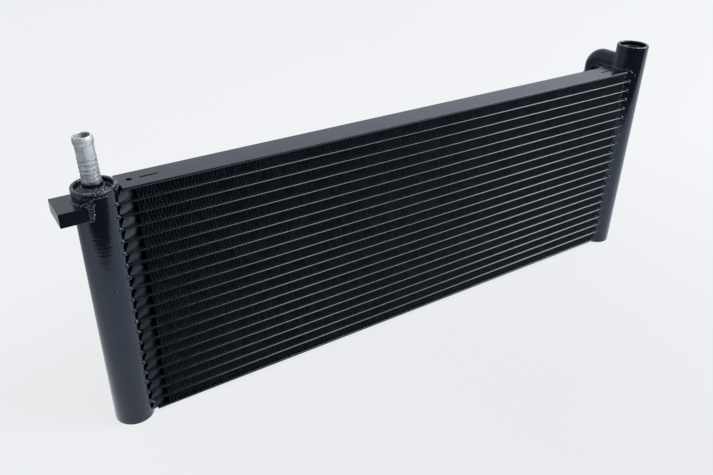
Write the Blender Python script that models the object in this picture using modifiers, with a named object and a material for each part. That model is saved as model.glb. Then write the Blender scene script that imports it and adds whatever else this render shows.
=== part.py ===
"""A hydraulic oil cooler: a brazed core of flat tubes and corrugated fins between two round tanks.

The cooler stands on its two tanks. X runs along the tubes, +Y to the back and +Z up. Pieces are
placed in the core's frame, whose origin lies on the floor midway between the tanks, and an empty
carries that frame so that the middle of the whole cooler's footprint is the world's origin.
"""

import math

import bmesh
import bpy
from mathutils import Vector

MM = 0.001

# The core: flat tubes with a fin row above and below each, between two side plates. The legs of a
# fin are drawn further apart and thicker than the real strip's, to keep the mesh light.
TUBE_COUNT = 19
TUBE_PITCH = 9.5 * MM
TUBE_WIDTH = 23.5 * MM
TUBE_THICKNESS = 2.0 * MM
TUBE_WALL = 0.5 * MM
TUBE_WEB = 1.0 * MM
TUBE_STICK_IN = 0.6 * MM
FIN_SPACING = 12.0 * MM
FIN_THICKNESS = 0.4 * MM
FIN_SETBACK = 0.5 * MM
FIN_END_ROOM = 1.2 * MM
PLATE_THICKNESS = 2.0 * MM
PLATE_HOLE = 2.6 * MM
PLATE_HOLE_INSET = 7.8 * MM
SLIT_WIDTH = 1.2 * MM
LEFT_SLIT_INSET = 16.0 * MM
LEFT_SLIT_LENGTH = 12.0 * MM
RIGHT_SLIT_INSET = 10.6 * MM
RIGHT_SLIT_LENGTH = 14.8 * MM

# The tanks, round tubes with a cap let into each end
TANK_SPACING = 530.0 * MM
TANK_SIDE_ROOM = 0.75 * MM
TANK_WALL = 2.5 * MM
TANK_FOOT = 4.1 * MM
TANK_EDGE = 0.6 * MM
LEFT_TANK_RISE = 2.2 * MM
RIGHT_TANK_RISE = 22.6 * MM
CAP_THICKNESS = 4.0 * MM
LEFT_CAP_RECESS = 4.0 * MM
RIGHT_CAP_RECESS = 5.0 * MM

# The hose stems: one barb stands in the left tank's cap, the other in the elbow's bush
STEM_OD = 12.1 * MM
STEM_BORE = 9.2 * MM
STEM_REACH_IN = 1.0 * MM
BEAD_OD = 13.3 * MM
BEAD_HEIGHT = 5.6 * MM
BEAD_STEP = 1.8 * MM
MOUTH_OD = 11.2 * MM
BARB_HEIGHT = 34.5 * MM
RING_COUNT = 6
RING_PITCH = 3.0 * MM
RING_HEIGHT = 0.25 * MM
RING_START = 3.8 * MM
COLLAR_OD = 13.6 * MM
COLLAR_HEIGHT = 6.2 * MM
COLLAR_EDGE = 0.2 * MM

# The elbow on the back of the right tank, wider than the stems, and the bush in its lower end
ELBOW_OD = 18.0 * MM
ELBOW_WALL = 1.5 * MM
ELBOW_DROP = 21.5 * MM
ELBOW_RUN = 16.1 * MM
ELBOW_BEND = 11.0 * MM
ELBOW_LEG = 8.0 * MM
BUSH_DEPTH = 5.0 * MM
FLANGE_HEIGHT = 3.0 * MM
FLANGE_STEP = 0.9 * MM

# The mounting lug, a bar on the outer side of the left tank
LUG_LENGTH = 11.5 * MM
LUG_WIDTH = 26.0 * MM
LUG_THICKNESS = 9.8 * MM
LUG_DROP = 9.15 * MM
LUG_EDGE = 0.6 * MM

# Clearance between a piece and its seat, and how finely round shapes are cut into facets
FIT = 0.3 * MM
TANK_FACETS = 20
STEM_FACETS = 16
SMALL_HOLE_FACETS = 12
PIPE_BEVEL_RESOLUTION = 4
BEND_STEPS = 8
LUG_BEVEL_SEGMENTS = 2
MERGE = 0.00001
SHARP_ANGLE = math.radians(35)
CUTTER_OVERRUN = 2.0 * MM

# Sizes that follow from those above
TANK_BORE_RADIUS = TUBE_WIDTH / 2 + TANK_SIDE_ROOM
TANK_RADIUS = TANK_BORE_RADIUS + TANK_WALL
LEFT_X = -TANK_SPACING / 2
RIGHT_X = TANK_SPACING / 2
BOTTOM_PLATE_Z = TANK_FOOT + PLATE_THICKNESS / 2
FIRST_GAP = TUBE_PITCH + (PLATE_THICKNESS - TUBE_THICKNESS) / 2
LOWEST_TUBE_Z = BOTTOM_PLATE_Z + FIRST_GAP
HIGHEST_TUBE_Z = LOWEST_TUBE_Z + (TUBE_COUNT - 1) * TUBE_PITCH
TOP_PLATE_Z = HIGHEST_TUBE_Z + FIRST_GAP
CORE_TOP_Z = TOP_PLATE_Z + PLATE_THICKNESS / 2
LEFT_TOP_Z = CORE_TOP_Z + LEFT_TANK_RISE
RIGHT_TOP_Z = CORE_TOP_Z + RIGHT_TANK_RISE
LEFT_CAP_Z = LEFT_TOP_Z - LEFT_CAP_RECESS
RIGHT_CAP_Z = RIGHT_TOP_Z - RIGHT_CAP_RECESS
STEM_RADIUS = STEM_OD / 2
ELBOW_RADIUS = ELBOW_OD / 2
ELBOW_BORE_RADIUS = ELBOW_RADIUS - ELBOW_WALL
FLANGE_RADIUS = ELBOW_RADIUS + FLANGE_STEP
ELBOW_Z = RIGHT_TOP_Z - ELBOW_DROP
ELBOW_Y = TANK_RADIUS + ELBOW_RUN + ELBOW_BEND
ELBOW_END_Z = ELBOW_Z - ELBOW_BEND - ELBOW_LEG

# The footprint's middle, seen from the core's frame
LEFT_REACH = TANK_SPACING / 2 + TANK_RADIUS + LUG_LENGTH
RIGHT_REACH = TANK_SPACING / 2 + TANK_RADIUS
BACK_REACH = ELBOW_Y + FLANGE_RADIUS
FRAME_SHIFT = Vector(((LEFT_REACH - RIGHT_REACH) / 2, (TANK_RADIUS - BACK_REACH) / 2, 0))


def clear_scene():
    for obj in list(bpy.data.objects):
        bpy.data.objects.remove(obj)


def new_collection(name):
    collection = bpy.data.collections.new(name)
    bpy.context.scene.collection.children.link(collection)
    return collection


def new_material(name, colour, roughness, metallic):
    material = bpy.data.materials.new(name)
    material.use_nodes = True
    shader = material.node_tree.nodes["Principled BSDF"]
    shader.inputs["Base Color"].default_value = (*colour, 1)
    shader.inputs["Roughness"].default_value = roughness
    shader.inputs["Metallic"].default_value = metallic
    return material


clear_scene()
PARTS = new_collection("hydraulic_oil_cooler")
CUTTERS = new_collection("cutters")
TANK_PAINT = new_material("tank_gloss_black", (0.012, 0.013, 0.016), 0.28, 0.0)
TUBE_PAINT = new_material("tube_satin_black", (0.020, 0.021, 0.024), 0.40, 0.0)
FIN_PAINT = new_material("fin_matt_black", (0.008, 0.008, 0.010), 0.60, 0.0)
BARE_ALUMINIUM = new_material("bare_turned_aluminium", (0.72, 0.73, 0.74), 0.35, 1.0)
CORE_FRAME = bpy.data.objects.new("core_frame", None)
CORE_FRAME.location = FRAME_SHIFT
PARTS.objects.link(CORE_FRAME)


def add_part(name, data, paint, place=(0, 0, 0), turn=(0, 0, 0)):
    """A named piece of the cooler, placed in the core's frame."""
    obj = bpy.data.objects.new(name, data)
    obj.location = place
    obj.rotation_euler = turn
    obj.parent = CORE_FRAME
    if not data.materials:
        data.materials.append(paint)
    PARTS.objects.link(obj)
    return obj


def add_cutter(name, mesh, place=(0, 0, 0), turn=(0, 0, 0)):
    obj = bpy.data.objects.new(name, mesh)
    obj.location = place
    obj.rotation_euler = turn
    obj.parent = CORE_FRAME
    obj.hide_render = True
    obj.display_type = "WIRE"
    CUTTERS.objects.link(obj)
    return obj


def cut(part, cutter):
    boolean = part.modifiers.new(cutter.name, "BOOLEAN")
    boolean.operation = "DIFFERENCE"
    boolean.solver = "EXACT"
    boolean.object = cutter


def turned_part(name, profile, closed, facets, paint, place, turn=(0, 0, 0)):
    """A turned piece: (radius, height) points, down the outer side first, spun round Z."""
    mesh = bpy.data.meshes.new(name)
    edges = [(i, i + 1) for i in range(len(profile) - 1)]
    if closed:
        edges.append((len(profile) - 1, 0))
    mesh.from_pydata([(radius, 0, height) for radius, height in profile], edges, [])
    part = add_part(name, mesh, paint, place, turn)
    screw = part.modifiers.new("spin", "SCREW")
    screw.steps = facets
    screw.render_steps = facets
    screw.use_merge_vertices = True
    screw.merge_threshold = MERGE
    screw.use_smooth_shade = True
    return part


def flat_curve(name, outlines, thickness):
    """A flat sheet from a closed outline and its holes, its thickness even about the plane."""
    curve = bpy.data.curves.new(name, "CURVE")
    curve.dimensions = "2D"
    curve.fill_mode = "BOTH"
    curve.extrude = thickness / 2
    for outline in outlines:
        spline = curve.splines.new("POLY")
        spline.points.add(len(outline) - 1)
        for point, (x, y) in zip(spline.points, outline):
            point.co = (x, y, 0, 1)
        spline.use_cyclic_u = True
    return curve


def mesh_of_curve(curve):
    """The curve's surface as a mesh, its caps welded on, and the curve taken away."""
    holder = bpy.data.objects.new(curve.name, curve)
    bpy.context.scene.collection.objects.link(holder)
    graph = bpy.context.evaluated_depsgraph_get()
    mesh = bpy.data.meshes.new_from_object(holder.evaluated_get(graph))
    bpy.data.objects.remove(holder)
    shape = bmesh.new()
    shape.from_mesh(mesh)
    bmesh.ops.remove_doubles(shape, verts=shape.verts, dist=MERGE)
    bmesh.ops.recalc_face_normals(shape, faces=shape.faces)
    shape.to_mesh(mesh)
    shape.free()
    return mesh


def cylinder_mesh(name, radius, length, facets):
    """A closed cylinder along Z, centred on the origin."""
    mesh = bpy.data.meshes.new(name)
    shape = bmesh.new()
    bmesh.ops.create_cone(
        shape, cap_ends=True, segments=facets, radius1=radius, radius2=radius, depth=length
    )
    shape.to_mesh(mesh)
    shape.free()
    return mesh


def pipe_mesh(name, path, radius):
    """A round bar along a path of points, with closed ends."""
    curve = bpy.data.curves.new(name, "CURVE")
    curve.dimensions = "3D"
    curve.bevel_depth = radius
    curve.bevel_resolution = PIPE_BEVEL_RESOLUTION
    curve.use_fill_caps = True
    spline = curve.splines.new("POLY")
    spline.points.add(len(path) - 1)
    for point, place in zip(spline.points, path):
        point.co = (*place, 1)
    return mesh_of_curve(curve)


def circle_outline(centre_x, radius, facets):
    step = math.tau / facets
    return [
        (centre_x + radius * math.cos(i * step), radius * math.sin(i * step)) for i in range(facets)
    ]


def tube_level(number):
    """The height of a flat tube's middle; tube 1 is the highest."""
    return HIGHEST_TUBE_Z - (number - 1) * TUBE_PITCH


def flat_tube_outline(grow):
    """A flat tube's section with blunt round noses, made larger all round by grow."""
    half_width = TUBE_WIDTH / 2 + grow
    half_height = TUBE_THICKNESS / 2 + grow
    shoulder = half_width - half_height
    nose_height = half_height * math.tan(math.pi / 8)
    right = [
        (shoulder, -half_height),
        (half_width, -nose_height),
        (half_width, nose_height),
        (shoulder, half_height),
    ]
    return right + [(-x, -y) for x, y in right]


def tube_port_outline(side):
    """One of the two oil ways beside the tube's middle web."""
    inner = TUBE_WEB / 2
    outer = TUBE_WIDTH / 2 - TUBE_THICKNESS / 2
    half_height = TUBE_THICKNESS / 2 - TUBE_WALL
    return [
        (side * inner, -half_height),
        (side * outer, -half_height),
        (side * outer, half_height),
        (side * inner, half_height),
    ]


# Turns a flat outline so that its x runs along Y, its y along Z and its thickness along X
ALONG_X = (math.radians(90), 0, math.radians(90))
# Turns a flat outline upright, its thickness along Y
UPRIGHT = (math.radians(90), 0, 0)
# Turns an upright piece over, top down
UPSIDE_DOWN = (math.radians(180), 0, 0)


def make_flat_tubes():
    """Each tube reaches through the wall of both tanks, far enough for its edges to clear the bore."""
    edge_inside = math.sqrt(TANK_BORE_RADIUS**2 - (TUBE_WIDTH / 2) ** 2)
    length = TANK_SPACING - 2 * (edge_inside - TUBE_STICK_IN)
    outlines = [flat_tube_outline(0), tube_port_outline(1), tube_port_outline(-1)]
    curve = flat_curve("flat_tube", outlines, length)
    for number in range(1, TUBE_COUNT + 1):
        place = (0, 0, tube_level(number))
        add_part(f"flat_tube_{number:02d}", curve, TUBE_PAINT, place, ALONG_X)


def fin_outline():
    """One corrugated strip seen from the front: a zigzag of sloping legs between two tubes."""
    height = TUBE_PITCH - TUBE_THICKNESS - 2 * FIT
    length = TANK_SPACING - 2 * (TANK_RADIUS + FIN_END_ROOM)
    legs = max(2, round(length / FIN_SPACING))
    step = length / legs
    upright_thickness = FIN_THICKNESS * math.hypot(step, height) / step
    swing = (height - upright_thickness) / 2
    crests = [(-length / 2 + i * step, swing * (-1) ** i) for i in range(legs + 1)]
    lower = [(x, z - upright_thickness / 2) for x, z in crests]
    upper = [(x, z + upright_thickness / 2) for x, z in crests]
    return lower + upper[::-1]


def make_fin_rows():
    """A fin row lies above each tube, and one more below the lowest."""
    depth = TUBE_WIDTH - 2 * FIN_SETBACK
    curve = flat_curve("fin_row", [fin_outline()], depth)
    for number in range(1, TUBE_COUNT + 2):
        place = (0, 0, tube_level(number) + TUBE_PITCH / 2)
        add_part(f"fin_row_{number:02d}", curve, FIN_PAINT, place, UPRIGHT)


def slit_outline(start_x, length):
    """A narrow lengthwise slit with pointed ends."""
    half_length = length / 2
    centre_x = start_x + half_length
    half_width = SLIT_WIDTH / 2
    shoulder = half_length - half_width
    right = [(shoulder, -half_width), (half_length, 0), (shoulder, half_width)]
    return [(centre_x + x, y) for x, y in right] + [(centre_x - x, -y) for x, y in right]


def make_side_plates():
    """Flat strips above the highest fin row and below the lowest, with a hole at the left end only."""
    end = TANK_SPACING / 2 - TANK_RADIUS - FIT
    half_width = TUBE_WIDTH / 2
    outlines = [[(-end, -half_width), (end, -half_width), (end, half_width), (-end, half_width)]]
    outlines.append(circle_outline(PLATE_HOLE_INSET - end, PLATE_HOLE / 2, SMALL_HOLE_FACETS))
    outlines.append(slit_outline(LEFT_SLIT_INSET - end, LEFT_SLIT_LENGTH))
    outlines.append(slit_outline(end - RIGHT_SLIT_INSET - RIGHT_SLIT_LENGTH, RIGHT_SLIT_LENGTH))
    curve = flat_curve("side_plate", outlines, PLATE_THICKNESS)
    add_part("top_side_plate", curve, TANK_PAINT, (0, 0, TOP_PLATE_Z))
    add_part("bottom_side_plate", curve, TANK_PAINT, (0, 0, BOTTOM_PLATE_Z))


def tube_slot_cutter(name, tank_x, toward_core):
    """The slots that the flat tubes pass through in one tank's wall."""
    length = TANK_RADIUS + CUTTER_OVERRUN
    slot = mesh_of_curve(flat_curve(name, [flat_tube_outline(FIT)], length))
    shape = bmesh.new()
    for number in range(1, TUBE_COUNT + 1):
        shape.from_mesh(slot)
        placed = shape.verts[-len(slot.vertices) :]
        bmesh.ops.translate(shape, verts=placed, vec=(0, tube_level(number), 0))
    shape.to_mesh(slot)
    shape.free()
    return add_cutter(name, slot, (tank_x + toward_core * length / 2, 0, 0), ALONG_X)


def make_tank(name, tank_x, top_z, toward_core):
    """A round tube with its outer rims eased, slotted for the flat tubes."""
    profile = [
        (TANK_BORE_RADIUS, top_z),
        (TANK_RADIUS - TANK_EDGE, top_z),
        (TANK_RADIUS, top_z - TANK_EDGE),
        (TANK_RADIUS, TANK_EDGE),
        (TANK_RADIUS - TANK_EDGE, 0),
        (TANK_BORE_RADIUS, 0),
    ]
    tank = turned_part(name, profile, True, TANK_FACETS, TANK_PAINT, (tank_x, 0, 0))
    cut(tank, tube_slot_cutter(f"{name}_slots", tank_x, toward_core))
    return tank


def make_cap(name, tank_x, top_z, hole_radius=0):
    """A disc let into a tank's end, with a hole where a stem passes through it."""
    radius = TANK_BORE_RADIUS - FIT
    profile = [
        (hole_radius, top_z),
        (radius, top_z),
        (radius, top_z - CAP_THICKNESS),
        (hole_radius, top_z - CAP_THICKNESS),
    ]
    turned_part(name, profile, hole_radius > 0, TANK_FACETS, TANK_PAINT, (tank_x, 0, 0))


def make_tanks():
    make_tank("left_tank", LEFT_X, LEFT_TOP_Z, 1)
    right_tank = make_tank("right_tank", RIGHT_X, RIGHT_TOP_Z, -1)
    reach = TANK_RADIUS + CUTTER_OVERRUN
    hole = cylinder_mesh("elbow_hole", ELBOW_RADIUS + FIT, reach, STEM_FACETS)
    cut(right_tank, add_cutter("elbow_hole", hole, (RIGHT_X, reach / 2, ELBOW_Z), UPRIGHT))
    make_cap("left_upper_cap", LEFT_X, LEFT_CAP_Z, STEM_RADIUS + FIT)
    make_cap("right_upper_cap", RIGHT_X, RIGHT_CAP_Z)
    make_cap("left_lower_cap", LEFT_X, CAP_THICKNESS)
    make_cap("right_lower_cap", RIGHT_X, CAP_THICKNESS)


def barb_profile(tail):
    """A hose barb standing on height 0: a bead at its mouth, fine rings below, and a tail beneath."""
    bead_base = BARB_HEIGHT - BEAD_HEIGHT
    outer = [
        (STEM_BORE / 2, BARB_HEIGHT),
        (MOUTH_OD / 2, BARB_HEIGHT),
        (BEAD_OD / 2, bead_base + BEAD_STEP),
        (STEM_RADIUS, bead_base),
    ]
    for ring in reversed(range(RING_COUNT)):
        ring_base = RING_START + ring * RING_PITCH
        outer.append((STEM_RADIUS, ring_base + RING_PITCH))
        outer.append((STEM_RADIUS + RING_HEIGHT, ring_base))
    outer.append((STEM_RADIUS, RING_START))
    return outer + [(STEM_RADIUS, -tail), (STEM_BORE / 2, -tail)]


def make_inlet_collar(place):
    """The ring that the inlet stem is fixed in, standing on height 0."""
    inner = STEM_RADIUS + FIT
    outer = COLLAR_OD / 2
    profile = [
        (inner, COLLAR_HEIGHT),
        (outer - COLLAR_EDGE, COLLAR_HEIGHT),
        (outer, COLLAR_HEIGHT - COLLAR_EDGE),
        (outer, 0),
        (inner, 0),
    ]
    turned_part("inlet_collar", profile, True, STEM_FACETS, TANK_PAINT, place)


def make_outlet_collar(place):
    """A flanged bush in the elbow's open end, height 0 being the end of the pipe."""
    inner = STEM_RADIUS + FIT
    plug = ELBOW_BORE_RADIUS - FIT
    profile = [
        (inner, BUSH_DEPTH),
        (plug, BUSH_DEPTH),
        (plug, -FIT),
        (FLANGE_RADIUS, -FIT),
        (FLANGE_RADIUS, -FIT - FLANGE_HEIGHT),
        (inner, -FIT - FLANGE_HEIGHT),
    ]
    turned_part("outlet_collar", profile, True, STEM_FACETS, TANK_PAINT, place)


def make_inlet():
    """The barb on the left tank, through its collar and the cap into the tank."""
    make_inlet_collar((LEFT_X, 0, LEFT_CAP_Z + FIT))
    tail = LEFT_CAP_RECESS + CAP_THICKNESS + STEM_REACH_IN
    profile = barb_profile(tail)
    place = (LEFT_X, 0, LEFT_TOP_Z)
    turned_part("inlet_hose_barb", profile, True, STEM_FACETS, BARE_ALUMINIUM, place)


def elbow_path(overrun):
    """From inside the right tank straight back, then bent to point down."""
    bend_y = TANK_RADIUS + ELBOW_RUN
    path = [(RIGHT_X, TANK_BORE_RADIUS - STEM_REACH_IN - overrun, ELBOW_Z)]
    for step in range(BEND_STEPS + 1):
        angle = math.radians(90) * step / BEND_STEPS
        y = bend_y + ELBOW_BEND * math.sin(angle)
        path.append((RIGHT_X, y, ELBOW_Z - ELBOW_BEND * (1 - math.cos(angle))))
    path.append((RIGHT_X, ELBOW_Y, ELBOW_END_Z - overrun))
    return path


def make_outlet():
    """The elbow on the right tank, with a bush and a second barb that points down behind the core."""
    mesh = pipe_mesh("outlet_elbow", elbow_path(0), ELBOW_RADIUS)
    mesh.shade_smooth()
    mesh.set_sharp_from_angle(angle=SHARP_ANGLE)
    elbow = add_part("outlet_elbow", mesh, TANK_PAINT)
    bore = pipe_mesh("elbow_bore", elbow_path(CUTTER_OVERRUN), ELBOW_BORE_RADIUS)
    cut(elbow, add_cutter("elbow_bore", bore))
    make_outlet_collar((RIGHT_X, ELBOW_Y, ELBOW_END_Z))
    place = (RIGHT_X, ELBOW_Y, ELBOW_END_Z - FIT - FLANGE_HEIGHT)
    profile = barb_profile(FLANGE_HEIGHT + BUSH_DEPTH)
    turned_part("outlet_hose_barb", profile, True, STEM_FACETS, BARE_ALUMINIUM, place, UPSIDE_DOWN)


def make_lug():
    """A flat bar welded to the left tank's outer side, hollowed at its root to sit on the tank."""
    mesh = bpy.data.meshes.new("mounting_lug")
    shape = bmesh.new()
    length = LUG_LENGTH + TANK_RADIUS
    bmesh.ops.create_cube(shape, size=1)
    bmesh.ops.scale(shape, verts=shape.verts, vec=(length, LUG_WIDTH, LUG_THICKNESS))
    shape.to_mesh(mesh)
    shape.free()
    lug_z = LEFT_TOP_Z - LUG_DROP - LUG_THICKNESS / 2
    lug = add_part("mounting_lug", mesh, TANK_PAINT, (LEFT_X - length / 2, 0, lug_z))
    bevel = lug.modifiers.new("eased_edges", "BEVEL")
    bevel.width = LUG_EDGE
    bevel.segments = LUG_BEVEL_SEGMENTS
    depth = LUG_THICKNESS + 2 * CUTTER_OVERRUN
    saddle = cylinder_mesh("lug_saddle", TANK_RADIUS + FIT, depth, TANK_FACETS)
    cut(lug, add_cutter("lug_saddle", saddle, (LEFT_X, 0, lug_z)))


make_tanks()
make_flat_tubes()
make_fin_rows()
make_side_plates()
make_inlet()
make_outlet()
make_lug()
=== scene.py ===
# %% [markdown]
# # A hydraulic oil cooler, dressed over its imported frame
# The cooler is a brazed core of flat tubes and corrugated fins between two round tanks, all under
# gloss black paint, with one bare aluminium hose stem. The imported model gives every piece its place
# and size. This lesson models each piece again with fine edges, welds and real fins, paints it, and
# sets the camera and the studio.

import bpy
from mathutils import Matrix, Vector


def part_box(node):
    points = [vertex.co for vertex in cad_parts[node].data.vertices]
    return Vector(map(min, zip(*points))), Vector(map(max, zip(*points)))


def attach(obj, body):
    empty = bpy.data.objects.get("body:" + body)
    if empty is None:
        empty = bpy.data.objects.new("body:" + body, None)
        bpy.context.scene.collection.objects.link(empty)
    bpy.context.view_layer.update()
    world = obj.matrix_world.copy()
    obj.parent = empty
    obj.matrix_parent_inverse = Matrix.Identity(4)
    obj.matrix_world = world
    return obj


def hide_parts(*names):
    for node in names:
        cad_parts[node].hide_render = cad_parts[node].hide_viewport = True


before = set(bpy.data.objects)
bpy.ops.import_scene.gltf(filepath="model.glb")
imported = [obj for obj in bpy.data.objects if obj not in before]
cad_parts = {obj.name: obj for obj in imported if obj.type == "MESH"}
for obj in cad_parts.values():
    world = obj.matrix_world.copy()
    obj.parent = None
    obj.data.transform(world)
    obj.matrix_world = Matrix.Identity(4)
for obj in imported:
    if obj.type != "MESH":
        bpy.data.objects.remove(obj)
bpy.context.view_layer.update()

# %% Modules and units
import math
import random

import bmesh
import bpy
from mathutils import Vector

MM = 0.001
MICRON = 0.000001
MERGE = 0.01 * MM
SHARP_ANGLE = math.radians(30)
SIDES = ("left", "right")
INWARD = {"left": 1, "right": -1}
dice = random.Random(7)

# %% [markdown]
# ## Working by operators
# The pieces are modelled as by hand, with operators in object and edit mode. An operator acts on all
# that is selected, so each step begins with nothing selected, and vertices and edges are then picked
# by where they lie. A piece is shaped round the world's origin, where its axes are easy to think in, and
# only then moved to its place.


# %% Start a step, pick by place, apply a modifier
def deselect_all():
    if bpy.context.object and bpy.context.object.mode != "OBJECT":
        bpy.ops.object.mode_set(mode="OBJECT")
    bpy.ops.object.select_all(action="DESELECT")


def work_on(piece):
    deselect_all()
    piece.select_set(True)
    bpy.context.view_layer.objects.active = piece


def begin(add, **settings):
    """Adds a piece by its operator, with nothing else selected."""
    deselect_all()
    add(**settings)
    return bpy.context.object


def edit(piece, kind):
    """Opens the piece in edit mode, set to pick vertices, edges or faces, with nothing picked."""
    work_on(piece)
    bpy.ops.object.mode_set(mode="EDIT")
    bpy.ops.mesh.select_mode(type=kind)
    bpy.ops.mesh.select_all(action="DESELECT")


def pick_all():
    bpy.ops.mesh.select_all(action="SELECT")


def pick_verts(test):
    """Selects the vertices of the piece in edit mode whose place passes the test."""
    mesh = bpy.context.object.data
    shape = bmesh.from_edit_mesh(mesh)
    for vert in shape.verts:
        vert.select_set(test(vert.co))
    shape.select_flush(True)
    bmesh.update_edit_mesh(mesh)


def pick_edges(test):
    """Selects the edges whose two ends pass the test."""
    mesh = bpy.context.object.data
    shape = bmesh.from_edit_mesh(mesh)
    for edge in shape.edges:
        edge.select_set(test(edge.verts[0].co, edge.verts[1].co))
    bmesh.update_edit_mesh(mesh)


def apply_modifier(piece, kind, **settings):
    work_on(piece)
    modifier = piece.modifiers.new(kind.lower(), kind)
    for key, value in settings.items():
        setattr(modifier, key, value)
    bpy.ops.object.modifier_apply(modifier=modifier.name)


def ease_edges(piece, width, segments=3):
    """Rounds every sharp edge, as a deburred and painted edge is."""
    apply_modifier(piece, "BEVEL", width=width, segments=segments, angle_limit=SHARP_ANGLE)


def roughen(piece, height, grain, direction="NORMAL"):
    """Moves the skin in or out by a cloud pattern, for welds and hand-bent strip."""
    clouds = bpy.data.textures.new("clouds", "CLOUDS")
    clouds.noise_scale = grain
    settings = {"texture": clouds, "strength": height, "direction": direction}
    apply_modifier(piece, "DISPLACE", texture_coords="LOCAL", **settings)


def smooth(piece, angle=40):
    work_on(piece)
    bpy.ops.object.shade_smooth_by_angle(angle=math.radians(angle))


def keep_flat(piece):
    """Lets the large faces rule the shading, so that eased edges do not bend their reflections."""
    apply_modifier(piece, "WEIGHTED_NORMAL", keep_sharp=True, weight=100)


def cut(piece, cutter):
    """Takes the cutter's shape out of the piece and deletes the cutter."""
    apply_modifier(piece, "BOOLEAN", object=cutter, operation="DIFFERENCE")
    bpy.data.objects.remove(cutter)


def move_to(piece, place):
    work_on(piece)
    piece.location = place
    bpy.ops.object.transform_apply(location=True, rotation=True, scale=True)


def block(size, kind="VERT"):
    """A bar round the origin, open in edit mode with all of it picked."""
    piece = begin(bpy.ops.mesh.primitive_cube_add, size=1)
    edit(piece, kind)
    pick_all()
    bpy.ops.transform.resize(value=size)
    return piece


def drill(piece, place, radius, depth, sides):
    """Cuts an upright round hole through the piece."""
    cutter = begin(bpy.ops.mesh.primitive_cylinder_add, vertices=sides, radius=radius, depth=depth)
    move_to(cutter, place)
    cut(piece, cutter)


def settle(piece, name, finish, nodes=()):
    """Names and paints a finished piece, and ties it to the frame in the place of its CAD nodes."""
    piece.name = name
    piece.data.name = name
    piece.data.materials.clear()
    piece.data.materials.append(finish)
    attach(piece, "root")
    if nodes:
        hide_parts(*nodes)


def in_mm(length):
    return round(length * 1000, 1)


def middle(name):
    low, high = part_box(name)
    return (low + high) / 2


# %% [markdown]
# ## The lathe
# Tanks, caps, collars and stems are all round. By hand, such a piece is a circle that is extruded
# along its axis and scaled at each step, ring after ring, which leaves clean loops for the bevels. A
# tube's last ring is bridged back to its first, and a solid piece has its two ends filled instead.


# %% Turn a round piece
ROUND = 96
SAME_HEIGHT = 1e-7


def turn(rings, hollow=True):
    """Extrudes a circle through (radius, height) rings. A hollow piece closes on its first ring."""
    radius, height = rings[0]
    piece = begin(bpy.ops.mesh.primitive_circle_add, vertices=ROUND, radius=radius)
    edit(piece, "EDGE")
    pick_all()
    bpy.ops.transform.translate(value=(0, 0, height))
    for next_radius, next_height in rings[1:]:
        rise = (0, 0, next_height - height)
        bpy.ops.mesh.extrude_edges_move(TRANSFORM_OT_translate={"value": rise})
        growth = next_radius / radius
        axis_point = (0, 0, next_height)
        bpy.ops.transform.resize(value=(growth, growth, 1), center_override=axis_point)
        radius, height = next_radius, next_height
    if hollow:
        bpy.ops.mesh.select_non_manifold(extend=False)
        bpy.ops.mesh.bridge_edge_loops()
    else:
        bpy.ops.mesh.edge_face_add()
        first_height = rings[0][1]
        pick_edges(lambda a, b: abs(a.z - first_height) + abs(b.z - first_height) < SAME_HEIGHT)
        bpy.ops.mesh.edge_face_add()
    pick_all()
    bpy.ops.mesh.normals_make_consistent(inside=False)
    return piece


def sleeve(bore, outer, low, high):
    """The rings of a plain tube."""
    return [(bore, low), (outer, low), (outer, high), (bore, high)]


def turn_eased(rings, place, ease, segments=3, hollow=True):
    """A turned piece with eased edges, stood at its place."""
    piece = turn(rings, hollow)
    ease_edges(piece, ease, segments)
    smooth(piece)
    move_to(piece, place)
    return piece


# %% [markdown]
# ## The camera
# The photograph looks down on the front of the cooler from its left, about 0.65 m away. The place,
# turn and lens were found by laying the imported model's edges over the photograph's.

# %% Camera
CAMERA_PLACE = (-0.34833, -0.46367, 0.40494)
CAMERA_TURN = (59.942, -0.868, -33.037)
CAMERA_LENS = 36.306

camera = begin(bpy.ops.object.camera_add, location=CAMERA_PLACE)
camera.rotation_euler = [math.radians(angle) for angle in CAMERA_TURN]
camera.data.lens = CAMERA_LENS
camera.data.clip_start = 10 * MM
bpy.context.scene.camera = camera
print("camera at", CAMERA_PLACE, "lens", CAMERA_LENS)

# %% [markdown]
# ## Node helpers
# A finish is a small tree of nodes. These helpers add a node, wire it and set its fixed values, so
# that each paint below reads as a list of what it is made of. All patterns follow Object coordinates,
# which are the cooler's own metres.


# %% Add nodes
def new_material(name, shine=0.5, tint=(1, 1, 1)):
    material = bpy.data.materials.new(name)
    material.use_nodes = True
    shader = material.node_tree.nodes["Principled BSDF"]
    shader.inputs["Specular IOR Level"].default_value = shine
    shader.inputs["Specular Tint"].default_value = (*tint, 1)
    return material, material.node_tree, shader


def wire(tree, shader, **sockets):
    """Links values to the shader's sockets, base_color being Base Color."""
    for name, value in sockets.items():
        tree.links.new(value, shader.inputs[name.replace("_", " ").title()])


def node(tree, kind, inputs=None, **settings):
    """Adds a node. An input given as a socket is wired, and any other value is set."""
    made = tree.nodes.new(kind)
    for key, value in settings.items():
        setattr(made, key, value)
    for key, value in (inputs or {}).items():
        if isinstance(value, bpy.types.NodeSocket):
            tree.links.new(value, made.inputs[key])
        else:
            made.inputs[key].default_value = value
    return made


def noise(tree, scale, detail=2.0, stretch=(1, 1, 1), roughness=0.5):
    """A noise of so many grains to the metre, stretched where a finish has a direction."""
    place = node(tree, "ShaderNodeTexCoord").outputs["Object"]
    turned = node(tree, "ShaderNodeMapping", {"Vector": place, "Scale": stretch})
    values = {"Vector": turned.outputs[0], "Scale": scale, "Detail": detail, "Roughness": roughness}
    return node(tree, "ShaderNodeTexNoise", values).outputs["Fac"]


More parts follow.
